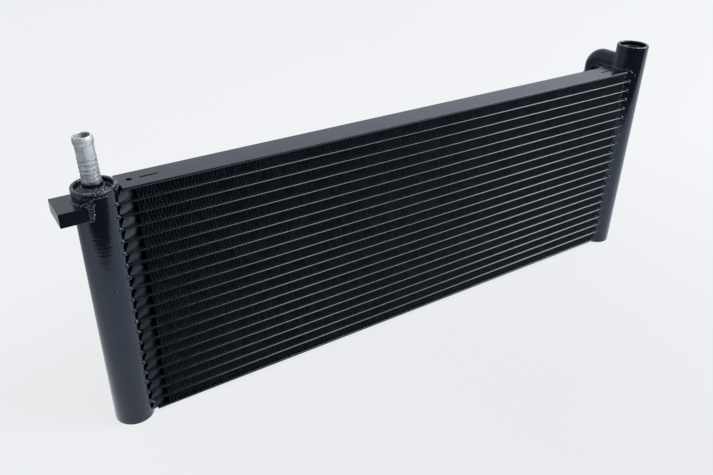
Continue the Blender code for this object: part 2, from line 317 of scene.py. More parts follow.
def between(tree, value, low, high, start=0.35, end=0.65):
    """Spreads the part of a noise from start to end over low to high."""
    values = {"Value": value, "From Min": start, "From Max": end, "To Min": low, "To Max": high}
    return node(tree, "ShaderNodeMapRange", values).outputs["Result"]


def blend(tree, factor, first, second):
    mix = node(tree, "ShaderNodeMix", data_type="RGBA")
    tree.links.new(factor, mix.inputs["Factor"])
    for socket, colour in (("A", first), ("B", second)):
        found = [s for s in mix.inputs if s.name == socket and s.type == "RGBA"][0]
        if isinstance(colour, bpy.types.NodeSocket):
            tree.links.new(colour, found)
        else:
            found.default_value = (*colour, 1)
    return [s for s in mix.outputs if s.type == "RGBA"][0]


def maths(tree, operation, *values):
    return node(tree, "ShaderNodeMath", dict(enumerate(values)), operation=operation).outputs[0]


def product(tree, first, second):
    return maths(tree, "MULTIPLY", first, second)


def place_on(tree, axis):
    """How far along one of the cooler's axes a point lies."""
    place = node(tree, "ShaderNodeTexCoord").outputs["Object"]
    return node(tree, "ShaderNodeSeparateXYZ", {0: place}).outputs[axis]


def facing(tree, axis):
    """How much a face looks along one of the axes, from -1 to 1."""
    normal = node(tree, "ShaderNodeNewGeometry").outputs["Normal"]
    return node(tree, "ShaderNodeSeparateXYZ", {0: normal}).outputs[axis]


def bump(tree, microns, grain, detail=2.0, stretch=(1, 1, 1), under=None):
    """Tilts the surface by a noise so many microns high, on top of the bump under it."""
    values = {"Height": noise(tree, grain, detail, stretch), "Distance": microns * MICRON}
    if under is not None:
        values["Normal"] = under
    return node(tree, "ShaderNodeBump", values).outputs["Normal"]


# %% [markdown]
# ## Gloss black paint
# The tanks, plates and welds carry a hard gloss coat. Close to, such a coat is never flat: it has a
# fine orange peel, faint bands round a drawn tube, a haze of handling and a scatter of dust. The
# bands are a noise stretched round the tank, the peel is a finer noise, and both only tilt the
# surface, so the paint stays black and its reflections waver as they do in the photograph. The coat
# has a cold tone, which its reflections take on. On a tank's sawn rim it is thin, and grey metal
# shows through in places. This lighter grey is also a painted highlight, standing in for the light
# caught on the rim. It is a blend by height, broken up by a noise. The fin strips' rolled ends are
# hazier, and the paint of the lower rows is given less shine, which darkens them as painted shade:
# three copies of one paint that differ only in how much they reflect.


# %% Gloss black paint
COLD = (0.74, 0.84, 1.0)
COAT = (0.0008, 0.0013, 0.0030), (0.0024, 0.0033, 0.0062)
DUST_SPECK = (0.030, 0.032, 0.038)
# Grey metal at a tank's rim, which also serves as a painted highlight on the rim.
RIM_METAL_AND_HIGHLIGHT = (0.09, 0.10, 0.115)
RIM_FROM = 0.7 * MM
RIM_FULL = 0.2 * MM
HAZE_SPREAD = 0.12
BAND_GRAINS = (90, 90, 620)


def make_gloss_paint(name, bands, peel, haze, rim=None, shine=0.5):
    """Gloss black with bands and orange peel so many microns deep, lightened at the rim's height as wear
    and painted highlight.
    """
    material, tree, shader = new_material(name, shine, COLD)
    patches = between(tree, noise(tree, 55, 3), 0, 1)
    specks = between(tree, noise(tree, 1500, 1), 0, 1, 0.70, 0.78)
    coat = blend(tree, specks, blend(tree, patches, *COAT), DUST_SPECK)
    # Near the rim the coat turns lighter grey by height: wear, and a painted highlight on the rim.
    if rim:
        near_rim = between(tree, place_on(tree, "Z"), 0, 1, rim - RIM_FROM, rim - RIM_FULL)
        wear_and_painted_light = product(tree, near_rim, between(tree, noise(tree, 300, 3), 0, 1, 0.42, 0.60))
        coat = blend(tree, wear_and_painted_light, coat, RIM_METAL_AND_HIGHLIGHT)
    smudges = between(tree, noise(tree, 90, 4, roughness=0.65), haze, haze + HAZE_SPREAD)
    banded = bump(tree, bands, grain=1, detail=3, stretch=BAND_GRAINS)
    peeled = bump(tree, peel, grain=520, under=banded)
    wire(tree, shader, base_color=coat, roughness=smudges, normal=peeled)
    return material


TANK_PAINT = make_gloss_paint("gloss_black", bands=40, peel=18, haze=0.06)
ELBOW_PAINT = make_gloss_paint("gloss_black_elbow", bands=40, peel=18, haze=0.10, shine=0.34)
RIM_PAINT = {}
for side in SIDES:
    rim_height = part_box(side + "_tank")[1].z
    paint_name = f"gloss_black_{side}_tank"
    RIM_PAINT[side] = make_gloss_paint(paint_name, bands=100, peel=26, haze=0.06, rim=rim_height)
PLATE_PAINT = make_gloss_paint("gloss_black_plate", bands=0, peel=8, haze=0.08)
WELD_PAINT = make_gloss_paint("gloss_black_weld", bands=0, peel=80, haze=0.05, shine=0.75)
# Painted shade: strip ends of lower rows get copies of the paint with less shine, so they look darker.
CUSHION_SHINE_FOR_SHADE = {4: 0.85, 7: 0.46, 20: 0.3}
CUSHION_PAINT = {}
for last_row, shine in CUSHION_SHINE_FOR_SHADE.items():
    paint_name = f"gloss_black_end_painted_shade_{last_row}"
    CUSHION_PAINT[last_row] = make_gloss_paint(paint_name, bands=0, peel=20, haze=0.36, shine=shine)
print("paints:", TANK_PAINT.name, PLATE_PAINT.name, "and", len(CUSHION_PAINT), "for strip ends")


# %% [markdown]
# ## Tube and fin paint
# The tubes take the same coat from above, where it is glossy, and stay dry and dull below. The spray
# hardly reaches into the fins, so their thin strip is matt and uneven: some legs show a grey dust of
# paint, others stay nearly black. The fins' outer edges are painted greyer than the depth, as painted
# light on the edges and painted shade in the depth. The lower part of each fin row, and the tubes'
# upward faces inside the core away from its left end, are painted lighter as painted light from
# above, and the top of each row stays dark as painted shade under the tube. A noise that is
# stretched along the height of the fins changes from leg to leg, the distance from the middle of the
# core tells edge from depth, and the height is counted off row by row.


# %% Tube and fin paint
NEUTRAL = (0.90, 0.90, 0.91)
TUBE_SHINE = 0.36
TUBE_COAT = (0.002, 0.0025, 0.0035), (0.005, 0.006, 0.008)
# Painted light: the tubes' upward faces inside the core, away from its left end, are lightened.
TUBE_TOP_LIGHT = (0.045, 0.048, 0.054)
TOP_LIGHT_FROM = 9 * MM
TOP_LIGHT_FULL = 13 * MM
FIN_SHINE = 0.2
FIN_COAT = (0.0028, 0.0033, 0.0048), (0.0100, 0.0115, 0.0150)
# Painted light and shade: fin edges lighter than the depth, and each row lighter below than at its top.
FIN_EDGE_LIGHT = (0.0075, 0.0090, 0.0130), (0.0215, 0.0250, 0.0325)
FIN_LOWER_LIGHT = (0.023, 0.026, 0.032)
FIN_GRAINS = (760, 20, 120)
EDGE_FROM = 9.6 * MM
EDGE_FULL = 10.4 * MM
TUBE_EDGE_FULL = 10.6 * MM
CORE_MIDDLE = middle("fin_row_01")


def off_middle(tree):
    """How far a point of the core lies in front of or behind its middle plane."""
    off = maths(tree, "SUBTRACT", place_on(tree, "Y"), CORE_MIDDLE.y)
    return maths(tree, "ABSOLUTE", off)


def make_tube_paint():
    material, tree, shader = new_material("satin_black_tube", TUBE_SHINE, NEUTRAL)
    tint = blend(tree, between(tree, noise(tree, 160, 3), 0, 1), *TUBE_COAT)
    # Painted light from above: tube faces that look up, inside the core, take a lighter colour.
    upward = facing(tree, "Z")
    inside = between(tree, off_middle(tree), 1, 0, EDGE_FROM, TUBE_EDGE_FULL)
    core_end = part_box("top_side_plate")[0].x
    past_ends = between(tree, place_on(tree, "X"), 0, 1, core_end + TOP_LIGHT_FROM, core_end + TOP_LIGHT_FULL)
    lit_tube_tops = product(tree, product(tree, inside, upward), past_ends)
    gloss = between(tree, noise(tree, 240, 3), 0.10, 0.20)
    dry_below = between(tree, upward, 0.75, 0.0, 0.05, 0.40)
    dull = maths(tree, "MAXIMUM", gloss, dry_below)
    grit = bump(tree, microns=8, grain=700)
    wire(tree, shader, base_color=blend(tree, lit_tube_tops, tint, TUBE_TOP_LIGHT), roughness=dull, normal=grit)
    return material


def make_fin_paint():
    material, tree, shader = new_material("matt_black_fin", FIN_SHINE, COLD)
    legs = between(tree, noise(tree, 1, 1, FIN_GRAINS), 0, 1, 0.36, 0.66)
    # Painted light from above: each row's lower part is lighter, its top left dark as painted shade
    # under the tube.
    pitch = CORE_MIDDLE.z - middle("fin_row_02").z
    above = maths(tree, "SUBTRACT", place_on(tree, "Z"), CORE_MIDDLE.z - pitch / 2)
    level = maths(tree, "FLOORED_MODULO", above, pitch)
    lit_lower_folds = between(tree, level, 1, 0, 0.12 * pitch, 0.75 * pitch)
    deep = blend(tree, lit_lower_folds, blend(tree, legs, *FIN_COAT), FIN_LOWER_LIGHT)
    # Painted light on the fins' outer edges and painted shade in their depth.
    edge = between(tree, off_middle(tree), 0, 1, EDGE_FROM, EDGE_FULL)
    tint = blend(tree, edge, deep, blend(tree, legs, *FIN_EDGE_LIGHT))
    dull = between(tree, noise(tree, 300, 2), 0.38, 0.60)
    grit = bump(tree, microns=20, grain=1600)
    wire(tree, shader, base_color=tint, roughness=dull, normal=grit)
    return material


TUBE_PAINT = make_tube_paint()
FIN_PAINT = make_fin_paint()
print("core paints:", TUBE_PAINT.name, FIN_PAINT.name)


# %% [markdown]
# ## Bare aluminium
# The stem is the one piece that was masked off. It is turned aluminium that has been handled: tool
# marks run round it, scuffs run along it, and a dull oxide lies in patches. The tool marks are a noise
# squeezed along the height, and the scuffs one squeezed round the stem. On its lower half, dark broken
# lines are painted across it as painted shade, standing in for the shade in creases. Its colour is
# painted lighter on the side that looks toward -X and darker on the side toward +X, and darker again
# at the far -X edge: painted light and shade. Inside the bore it was never cleaned, and is dull and
# dark.


# %% Bare aluminium
CREASE_TOP = 219.5 * MM
CREASE_FADE = 2 * MM
CREASE_GRAINS = (120, 120, 1150)
SCUFF_GRAINS = (900, 900, 60)
TOOL_GRAINS = (80, 80, 4200)
CLEAN_METAL = (0.52, 0.53, 0.535), (0.66, 0.67, 0.675)
SCUFFED_METAL = (0.42, 0.43, 0.435)
# Painted shade: the colour of dark broken lines that stand in for shade in creases on the lower stem.
CREASE_SHADE = (0.28, 0.29, 0.30)
OXIDE = (0.18, 0.187, 0.195), (0.42, 0.428, 0.435)
OXIDE_ROUGHNESS = 0.8


def make_bare_aluminium():
    material, tree, shader = new_material("bare_turned_aluminium")
    shader.inputs["Metallic"].default_value = 1.0
    patches = noise(tree, 260, 4, roughness=0.6)
    clean = blend(tree, between(tree, patches, 0, 1), *CLEAN_METAL)
    scuffs = between(tree, noise(tree, 1, 2, SCUFF_GRAINS), 0, 1, 0.53, 0.72)
    # Painted shade of creases, below the crease top.
    painted_crease_shade = between(tree, noise(tree, 1, 2, CREASE_GRAINS), 0, 1, 0.55, 0.63)
    below = between(tree, place_on(tree, "Z"), 1, 0, CREASE_TOP - CREASE_FADE, CREASE_TOP)
    scuffed = blend(tree, scuffs, clean, SCUFFED_METAL)
    marked = blend(tree, product(tree, painted_crease_shade, below), scuffed, CREASE_SHADE)
    # Painted light and shade: faces toward -X are lighter, toward +X darker, and the far -X edge darker
    # again.
    aside = facing(tree, "X")
    painted_side_light = between(tree, aside, 1.32, 0.66, -0.2, 0.8)
    painted_side_light_and_shade = product(tree, painted_side_light, between(tree, aside, 0.65, 1.0, -0.95, -0.45))
    wear_and_painted_light = node(tree, "ShaderNodeVectorMath", {0: marked, "Scale": painted_side_light_and_shade}, operation="SCALE").outputs[0]
    marks = bump(tree, microns=20, grain=1, stretch=TOOL_GRAINS)
    dents = bump(tree, microns=70, grain=420, under=marks)
    wire(tree, shader, base_color=wear_and_painted_light, roughness=between(tree, patches, 0.74, 0.58), normal=dents)
    return material


def make_bore_oxide():
    material, tree, shader = new_material("dull_bore_oxide")
    shader.inputs["Roughness"].default_value = OXIDE_ROUGHNESS
    wire(tree, shader, base_color=blend(tree, between(tree, noise(tree, 300, 3), 0, 1), *OXIDE))
    return material


BARE_ALUMINIUM = make_bare_aluminium()
BORE_OXIDE = make_bore_oxide()
print("metal:", BARE_ALUMINIUM.name, BORE_OXIDE.name)

# %% [markdown]
# ## The two tanks
# Each tank is a drawn aluminium tube. It is turned as a closed wall, from the bore out, up the outside
# and back down inside, and its rims are eased. The slots for the flat tubes are hidden by the tubes
# and their braze, so the visible wall is left whole.

# %% Tanks
TANK_WALL = 2.5 * MM
RIM_EASE = 1.0 * MM
RIM_EASE_STEPS = 4


def make_tank(side):
    name = side + "_tank"
    low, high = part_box(name)
    rings = sleeve(TANK_RADIUS - TANK_WALL, TANK_RADIUS, low.z, high.z)
    tank = turn_eased(rings, TANK_AXIS[side], RIM_EASE, RIM_EASE_STEPS)
    settle(tank, name + "_tube", RIM_PAINT[side], [name])
    print(tank.name, "at", TANK_AXIS[side].to_tuple(4))


TANK_AXIS = {}
for side in SIDES:
    seat = middle(side + "_tank")
    TANK_AXIS[side] = Vector((seat.x, seat.y, 0))
TANK_RADIUS = (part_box("left_tank")[1].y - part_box("left_tank")[0].y) / 2
for side in SIDES:
    make_tank(side)

# %% [markdown]
# ## Weld beads
# Caps, collar, lug and elbow are welded on, and the paint runs over the beads. A bead is a row of
# overlapping puddles. A path of points half a puddle apart gives a round rope whose radius swells at
# every second point, and a little disorder keeps it from looking machined. Drawn as a curve, it is
# then made a mesh like any other piece.

# %% Weld bead
PUDDLE = 1.1 * MM
LEAST_STEPS = 4
SWELL = (0.86, 1.12)
DISORDER = (0.9, 1.12)
BEAD_LUMPS = 0.3
BEAD_GRAIN = 0.9 * MM
DROP_GRAIN = 1.1 * MM
WELD_ANGLE = 60
FULL_TURN = (0, 358)


def weld_bead(points, radius, closed=False):
    """A bead along the points, with a swell at every second one."""
    bead = begin(bpy.ops.curve.primitive_nurbs_path_add)
    bead.data.splines.clear()
    spline = bead.data.splines.new("NURBS")
    spline.points.add(len(points) - 1)
    for number, (point, place) in enumerate(zip(spline.points, points)):
        point.co = (*place, 1)
        point.radius = SWELL[number % 2] * dice.uniform(*DISORDER)
    spline.order_u = 4
    spline.use_endpoint_u = True
    spline.use_cyclic_u = closed
    spline.resolution_u = 3
    bead.data.bevel_depth = radius
    bead.data.bevel_resolution = 3
    bead.data.use_fill_caps = True
    bpy.ops.object.convert(target="MESH")
    bead = bpy.context.object
    edit(bead, "VERT")
    pick_all()
    bpy.ops.mesh.remove_doubles(threshold=MERGE)
    bpy.ops.mesh.normals_make_consistent(inside=False)
    roughen(bead, BEAD_LUMPS * radius, BEAD_GRAIN)
    smooth(bead, WELD_ANGLE)
    return bead


def arc(centre, radius, height, start, end):
    """Points half a puddle apart on a level arc, from start to end degrees."""
    length = math.radians(abs(end - start)) * radius
    steps = max(LEAST_STEPS, round(length / (PUDDLE / 2)))
    angles = [math.radians(start + (end - start) * step / steps) for step in range(steps + 1)]
    return [(centre.x + radius * math.cos(a), centre.y + radius * math.sin(a), height) for a in angles]


def straight(start, end):
    start, end = Vector(start), Vector(end)
    steps = max(LEAST_STEPS, round((end - start).length / (PUDDLE / 2)))
    return [tuple(start.lerp(end, step / steps)) for step in range(steps + 1)]


def settle_weld(piece, name):
    settle(piece, name, WELD_PAINT)


def join(pieces):
    work_on(pieces[0])
    for piece in pieces:
        piece.select_set(True)
    bpy.ops.object.join()
    return bpy.context.object


def on_tank(side, azimuth, height):
    """A place on a tank's skin, so many degrees round from +X."""
    swing = math.radians(azimuth)
    around = Vector((TANK_RADIUS * math.cos(swing), TANK_RADIUS * math.sin(swing), height))
    return TANK_AXIS[side] + around


def drops(places, lumps=0.5 * MM):
    """Small drops of weld metal, each a place and a radius, as one ragged piece."""
    made = []
    for place, radius in places:
        drop = begin(bpy.ops.mesh.primitive_ico_sphere_add, subdivisions=3, radius=radius)
        move_to(drop, place)
        made.append(drop)
    piece = join(made)
    roughen(piece, lumps, DROP_GRAIN)
    smooth(piece, WELD_ANGLE)
    return piece


# %% [markdown]
# ## Caps
# A disc is let into each end of a tank, and the upper ones show the weld round their edge. The upper
# faces stay below the rim, so the rim shows as a ring with a dark well inside it.

# %% Caps
CAP_EASE = 0.4 * MM
CAP_WELD = 1.0 * MM
STEM_RADIUS = 6.05 * MM
STEM_ROOM = 0.3 * MM


def make_cap(side, level, hole=0.0):
    name = f"{side}_{level}_cap"
    low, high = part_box(name)
    axis = TANK_AXIS[side]
    edge = (high.x - low.x) / 2
    rings = sleeve(hole, edge, low.z, high.z) if hole else [(edge, low.z), (edge, high.z)]
    cap = turn_eased(rings, axis, CAP_EASE, hollow=bool(hole))
    settle(cap, name + "_disc", TANK_PAINT, [name])
    if level == "upper":
        bead = weld_bead(arc(axis, edge - CAP_WELD / 2, high.z, *FULL_TURN), CAP_WELD)
        settle_weld(bead, name + "_weld")
    print(name, "radius", in_mm(edge), "mm")


make_cap("left", "upper", hole=STEM_RADIUS + STEM_ROOM)
for side, level in (("left", "lower"), ("right", "upper"), ("right", "lower")):
    make_cap(side, level)

# %% [markdown]
# ## Hose stems
# A stem has a bead at its mouth, which keeps the hose on, a smooth stretch below it, and a run of fine
# rings that grip. The profile goes up the outside, over the rings and the bead, and down the bore. The
# inlet stem stands up in the left tank, a degree or two out of true as in the photograph, and its twin
# points down from the elbow.

# %% Hose stems and the inlet's collar
STEM_BORE = 4.9 * MM
BARB_HEIGHT = 34.5 * MM
RING_COUNT = 6
RING_PITCH = 3.0 * MM
RING_START = 3.8 * MM
RING_PROFILE = [(0.0, -0.3), (0.22, 0.0), (0.22, 0.5), (0.0, 1.6)]
BEAD_START = 28.9 * MM
BEAD_PROFILE = [
    (0.0, -0.9), (-0.15, -0.3), (-0.1, 0.0), (0.5, 0.25), (0.6, 0.7),
    (0.57, 3.4), (0.2, 4.6), (-0.2, 5.4), (-0.35, 5.6), (-0.9, 5.6),
]
MOUTH_EASE = 0.25 * MM
COLLAR_EASE = 0.2 * MM
COLLAR_ROOM = 0.1 * MM
STEM_LEAN = 1.7
STEM_DRIFT = 0.45 * MM
STEM_DENTS = 0.16 * MM
DENT_GRAIN = 1.6 * MM
STEM_ANGLE = 35
BORE_LIP = 0.8 * MM
BORE_SKIN = 0.15 * MM


def profile(steps, base):
    """Rings from (out, up) steps in millimetres, out from the stem's skin and up from the base."""
    return [(STEM_RADIUS + out * MM, base + up * MM) for out, up in steps]


def stem_rings(tail):
    """The stem from the foot of its tail, height 0 being where the hose would stop."""
    rings = [(STEM_RADIUS, -tail)]
    for ring in range(RING_COUNT):
        rings += profile(RING_PROFILE, RING_START + ring * RING_PITCH)
    rings += profile(BEAD_PROFILE, BEAD_START)
    return rings + [(STEM_BORE, BARB_HEIGHT - MOUTH_EASE), (STEM_BORE, -tail)]


def stand(piece, name, tail, upward):
    """Sets a stem, or what is in it, on its tank or under its elbow."""
    low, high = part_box(name)
    seat = middle(name)
    if upward:
        piece.rotation_euler.y = math.radians(-STEM_LEAN)
        move_to(piece, (seat.x - STEM_DRIFT, seat.y, low.z + tail))
    else:
        piece.rotation_euler.x = math.pi
        move_to(piece, (seat.x, seat.y, high.z - tail))


def make_stem(name, upward):
    low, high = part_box(name)
    tail = (high.z - low.z) - BARB_HEIGHT
    stem = turn(stem_rings(tail))
    roughen(stem, STEM_DENTS, DENT_GRAIN)
    smooth(stem, STEM_ANGLE)
    stand(stem, name, tail, upward)
    settle(stem, name + "_turned", BARE_ALUMINIUM, [name])
    bore = turn(sleeve(STEM_BORE - BORE_SKIN, STEM_BORE, -tail, BARB_HEIGHT - BORE_LIP))
    smooth(bore)
    stand(bore, name, tail, upward)
    settle(bore, name + "_bore", BORE_OXIDE)
    print(name, "with", RING_COUNT, "rings and a tail of", in_mm(tail), "mm")


def make_inlet_collar():
    low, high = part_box("inlet_collar")
    outer = (high.x - low.x) / 2
    rings = sleeve(STEM_RADIUS + COLLAR_ROOM, outer, low.z, high.z)
    seat = middle("inlet_collar")
    collar = turn_eased(rings, (seat.x - STEM_DRIFT, seat.y, 0), COLLAR_EASE)
    settle(collar, "inlet_collar_ring", TANK_PAINT, ["inlet_collar"])
    print("inlet collar outside radius", in_mm(outer), "mm")
    return outer


make_stem("inlet_hose_barb", upward=True)
make_stem("outlet_hose_barb", upward=False)
collar_radius = make_inlet_collar()

# %% [markdown]
# ## The elbow
# The outlet pipe leaves the back of the right tank, runs straight and bends down sharply, so that its
# inner side is crinkled. By hand this is a circle that is extruded back, spun through a quarter turn
# and extruded down. The crinkles are short beads across the inner side of the bend, and a flanged bush
# closes the pipe's end round the stem.

# %% Elbow and bush
ELBOW_BEND = 11.0 * MM
BEND_STEPS = 16
ELBOW_SIDES = 64
QUARTER = math.radians(90)
CRINKLE = 1.2 * MM
CRINKLE_TURNS = (6, 22, 38, 54, 70)
CRINKLE_SWING = 75
CRINKLE_STEPS = 12
CRINKLE_SINK = 0.3 * MM
BUSH_PLUG = 7.2 * MM
FLANGE_HEIGHT = 3.0 * MM

elbow_low, elbow_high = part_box("outlet_elbow")
ELBOW_RADIUS = (elbow_high.x - elbow_low.x) / 2
ELBOW_X = middle("outlet_elbow").x
ELBOW_Z = elbow_high.z - ELBOW_RADIUS
ELBOW_LEG_Y = elbow_high.y - ELBOW_RADIUS
BEND_PIVOT = Vector((ELBOW_X, ELBOW_LEG_Y - ELBOW_BEND, ELBOW_Z - ELBOW_BEND))


def make_elbow():
    disc = {"vertices": ELBOW_SIDES, "radius": ELBOW_RADIUS, "fill_type": "NGON"}
    elbow = begin(bpy.ops.mesh.primitive_circle_add, **disc)
    elbow.rotation_euler.x = QUARTER
    move_to(elbow, (ELBOW_X, elbow_low.y, ELBOW_Z))
    edit(elbow, "FACE")
    pick_all()
    run = (0, BEND_PIVOT.y - elbow_low.y, 0)
    bpy.ops.mesh.extrude_region_move(TRANSFORM_OT_translate={"value": run})
    bpy.ops.mesh.spin(steps=BEND_STEPS, angle=QUARTER, center=BEND_PIVOT, axis=(1, 0, 0))
    drop = (0, 0, elbow_low.z - BEND_PIVOT.z)
    bpy.ops.mesh.extrude_region_move(TRANSFORM_OT_translate={"value": drop})
    pick_all()
    bpy.ops.mesh.remove_doubles(threshold=MERGE)
    bpy.ops.mesh.delete_loose()
    bpy.ops.mesh.select_interior_faces()
    bpy.ops.mesh.delete(type="FACE")
    pick_all()
    bpy.ops.mesh.normals_make_consistent(inside=False)
    smooth(elbow)
    settle(elbow, "outlet_elbow_pipe", ELBOW_PAINT, ["outlet_elbow"])
    print("elbow radius", in_mm(ELBOW_RADIUS), "mm, end at z", round(elbow_low.z, 4))


def crinkle_path(turned):
    """Across the inner side of the bend, so many degrees into it."""
    lean = math.radians(turned)
    outward = Vector((0, math.sin(lean), math.cos(lean)))
    centre = BEND_PIVOT + outward * ELBOW_BEND
    reach = ELBOW_RADIUS - CRINKLE_SINK
    path = []
    for step in range(CRINKLE_STEPS + 1):
        swing = math.radians(CRINKLE_SWING * (2 * step / CRINKLE_STEPS - 1))
        side = Vector((math.sin(swing), 0, 0))
        path.append(tuple(centre + (side - outward * math.cos(swing)) * reach))
    return path


def make_crinkles():
    beads = [weld_bead(crinkle_path(turned), CRINKLE) for turned in CRINKLE_TURNS]
    settle_weld(join(beads), "outlet_elbow_crinkles")


def make_bush():
    low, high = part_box("outlet_collar")
    flange = (high.x - low.x) / 2
    bore = STEM_RADIUS + COLLAR_ROOM
    step_z = low.z + FLANGE_HEIGHT
    rings = [(bore, low.z), (flange, low.z), (flange, step_z), (BUSH_PLUG, step_z)]
    rings += [(BUSH_PLUG, high.z), (bore, high.z)]
    bush = turn_eased(rings, (ELBOW_X, ELBOW_LEG_Y, 0), COLLAR_EASE)
    settle(bush, "outlet_collar_bush", TANK_PAINT, ["outlet_collar"])
    print("bush flange radius", in_mm(flange), "mm")


make_elbow()
make_crinkles()
make_bush()

# %% [markdown]
# ## The mounting lug
# A flat bar is welded to the outer side of the left tank. It starts as a cube, is scaled to the bar,
# trimmed a little out of square as a sawn bar is, hollowed to sit on the tank, and eased along its
# edges. Its weld runs all round it, and drops of metal have splashed over the tank.

# %% Lug and its weld
LUG_EASE = 0.5 * MM
LUG_WELD = 1.5 * MM
LUG_LEVEL_WELD = 1.2 * MM
LUG_WELD_OUT = 0.2 * MM
LUG_WELD_BELOW = 0.5 * MM
LUG_WELD_ABOVE = 1.5 * MM
LUG_ANGLE = 60
SADDLE_DEPTH = 50 * MM
LUG_SPLASH = [
    (226, 189.4, 1.9), (233, 190.6, 2.1), (240, 191.6, 1.7), (246, 193.2, 1.4), (246, 189.0, 1.8),
    (247, 186.2, 1.5), (246, 183.2, 1.6), (243, 180.2, 1.5), (214, 189.4, 1.5), (252, 190.6, 1.0),
]
LUG_TRIM = [
    (lambda place: place.x < 0, (-0.8 * MM, 0, 0)),
    (lambda place: place.y < 0, (0, -0.4 * MM, 0)),
    (lambda place: place.y < 0 and place.z < 0, (0, -0.6 * MM, 0)),
]


def make_lug():
    low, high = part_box("mounting_lug")
    axis = TANK_AXIS["left"]
    level = (low.z + high.z) / 2
    lug = block((axis.x - low.x, high.y - low.y, high.z - low.z))
    for test, shift in LUG_TRIM:
        pick_verts(test)
        bpy.ops.transform.translate(value=shift)
    pick_all()
    bpy.ops.mesh.bevel(offset=LUG_EASE, segments=3, affect="EDGES")
    move_to(lug, ((low.x + axis.x) / 2, axis.y, level))
    drill(lug, (axis.x, axis.y, level), TANK_RADIUS, SADDLE_DEPTH, ROUND)
    smooth(lug, LUG_ANGLE)
    keep_flat(lug)
    settle(lug, "mounting_lug_bar", TANK_PAINT, ["mounting_lug"])
    return low, high


def weld_lug(low, high):
    axis = TANK_AXIS["left"]
    half = (high.y - low.y) / 2
    corner = math.degrees(math.asin(half / TANK_RADIUS))
    root_x = axis.x - TANK_RADIUS * math.cos(math.radians(corner))
    beads = []
    for z in (high.z, low.z):
        path = arc(axis, TANK_RADIUS + LUG_WELD_OUT, z, 180 - corner, 180 + corner)
        beads.append(weld_bead(path, LUG_LEVEL_WELD))
    for y in (low.y, high.y):
        path = straight((root_x, y, low.z - LUG_WELD_BELOW), (root_x, y, high.z + LUG_WELD_ABOVE))
        beads.append(weld_bead(path, LUG_WELD))
    settle_weld(join(beads), "mounting_lug_weld")
    splash = [(on_tank("left", turned, height * MM), size * MM) for turned, height, size in LUG_SPLASH]
    settle_weld(drops(splash), "mounting_lug_splash")


lug_low, lug_high = make_lug()
weld_lug(lug_low, lug_high)
print("lug", in_mm(lug_high.y - lug_low.y), "mm wide, welded all round")

# %% [markdown]
# ## Flat tubes
# Nineteen flat tubes carry the oil across. One is modelled as a cube scaled to a flat bar whose four
# long edges are bevelled to a full round nose. The bar is narrow while they are bevelled and is then
# stretched to its width, which draws the nose out to a blunt point. The point is then pulled down a
# little with a falloff, as rolling leaves it. The tube is copied to each level with its own mesh.

# %% Flat tubes
TUBE_COUNT = 19
TUBES = [f"flat_tube_{number:02d}" for number in range(1, TUBE_COUNT + 1)]
NOSE_STEPS = 8
NOSE_ROUND = 0.495
NOSE_REACH = 3.0
NOSE_DROOP = 0.5 * MM
TUBE_ANGLE = 50


def copy_of(piece, shift):
    work_on(piece)
    bpy.ops.object.duplicate(linked=False)
    copy = bpy.context.object
    move_to(copy, shift)
    return copy


def make_tubes():
    low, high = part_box("flat_tube_01")
    size = high - low
    pattern = block((size.x, size.y / NOSE_REACH, size.z))
    pick_edges(lambda a, b: abs(a.x - b.x) > size.x / 2)
    bpy.ops.mesh.bevel(offset=size.z * NOSE_ROUND, segments=NOSE_STEPS, affect="EDGES")
    pick_all()
    bpy.ops.transform.resize(value=(1, NOSE_REACH, 1))
    pick_verts(lambda place: abs(place.y) > size.y / 2 - MERGE)
    nose = NOSE_REACH * size.z / 2
    droop = {"use_proportional_edit": True, "proportional_edit_falloff": "LINEAR"}
    bpy.ops.transform.translate(value=(0, 0, -NOSE_DROOP), proportional_size=nose, **droop)
    smooth(pattern, TUBE_ANGLE)
    for name in TUBES:
        tube = copy_of(pattern, middle(name))
        settle(tube, name + "_painted", TUBE_PAINT, [name])
    bpy.data.objects.remove(pattern)
    return size


tube_size = make_tubes()
print(TUBE_COUNT, "tubes of", [in_mm(length) for length in tube_size], "mm")

# %% [markdown]
# ## Fins
# Between the tubes runs a strip folded like a concertina, its folds 2.6 millimetres apart, with
# its legs pressed into slats so that they stir the air. One wave is folded by extruding an edge over
# the crest, down a leg, through the trough and up again. Every second line of its leg is pushed over
# for the slats. An Array makes the row, Solidify gives the strip its thickness, and each row is then
# bent a little differently, because no two are folded alike. At each end the strip is rolled over into
# a closed cushion against the tank. A cushion is a cube, leaned and narrowed toward the core, rounded
# by subdivision and pressed flat between the tubes. A cone cut out of it leaves a gap beside the tank
# that widens upward.

# %% Fin rows
FIN_ROWS = 20
LEG_SPACING = 1.3 * MM
STRIP = 0.2 * MM
SLATS = 6
SLAT_PUSH = 0.2 * MM
CREST_HALF = 0.14 * MM
FOLD_SIDE = 0.28 * MM
FOLD_DROP = 0.35 * MM
FOLD_ANGLE = 25
TUBE_GAP = 7.5 * MM
FIN_ROOM = 0.02 * MM
ROW_SHIFT = 0.5 * MM
ROW_BEND = 0.8 * MM
ROW_GRAIN = 3.2 * MM
FIN_RECESS = 0.35 * MM
CUSHION_REACH = {"left": 26.5 * MM, "right": 18.0 * MM}
CUSHION_START = {"left": 0.0, "right": -6.0 * MM}
CUSHION_HOLD = 2.5 * MM
CUSHION_GAP = {"left": 2.6 * MM, "right": 0.6 * MM}
CUSHION_SEAT = 0.3 * MM
CUSHION_LEAN = 3.0 * MM
CUSHION_SLOPE = 6.0 * MM
CUSHION_TURN = 5
CUSHION_HEIGHT = 20.0 * MM
CUSHION_PRESSED = 4.4 * MM
CUSHION_CLIP = 2.6 * MM
CUSHION_LUMPS = {"left": (1.2 * MM, 3.6 * MM), "right": (1.5 * MM, 2.0 * MM)}
CUSHION_ANGLE = 60
CUSHION_OVERCUT = 0.2 * MM


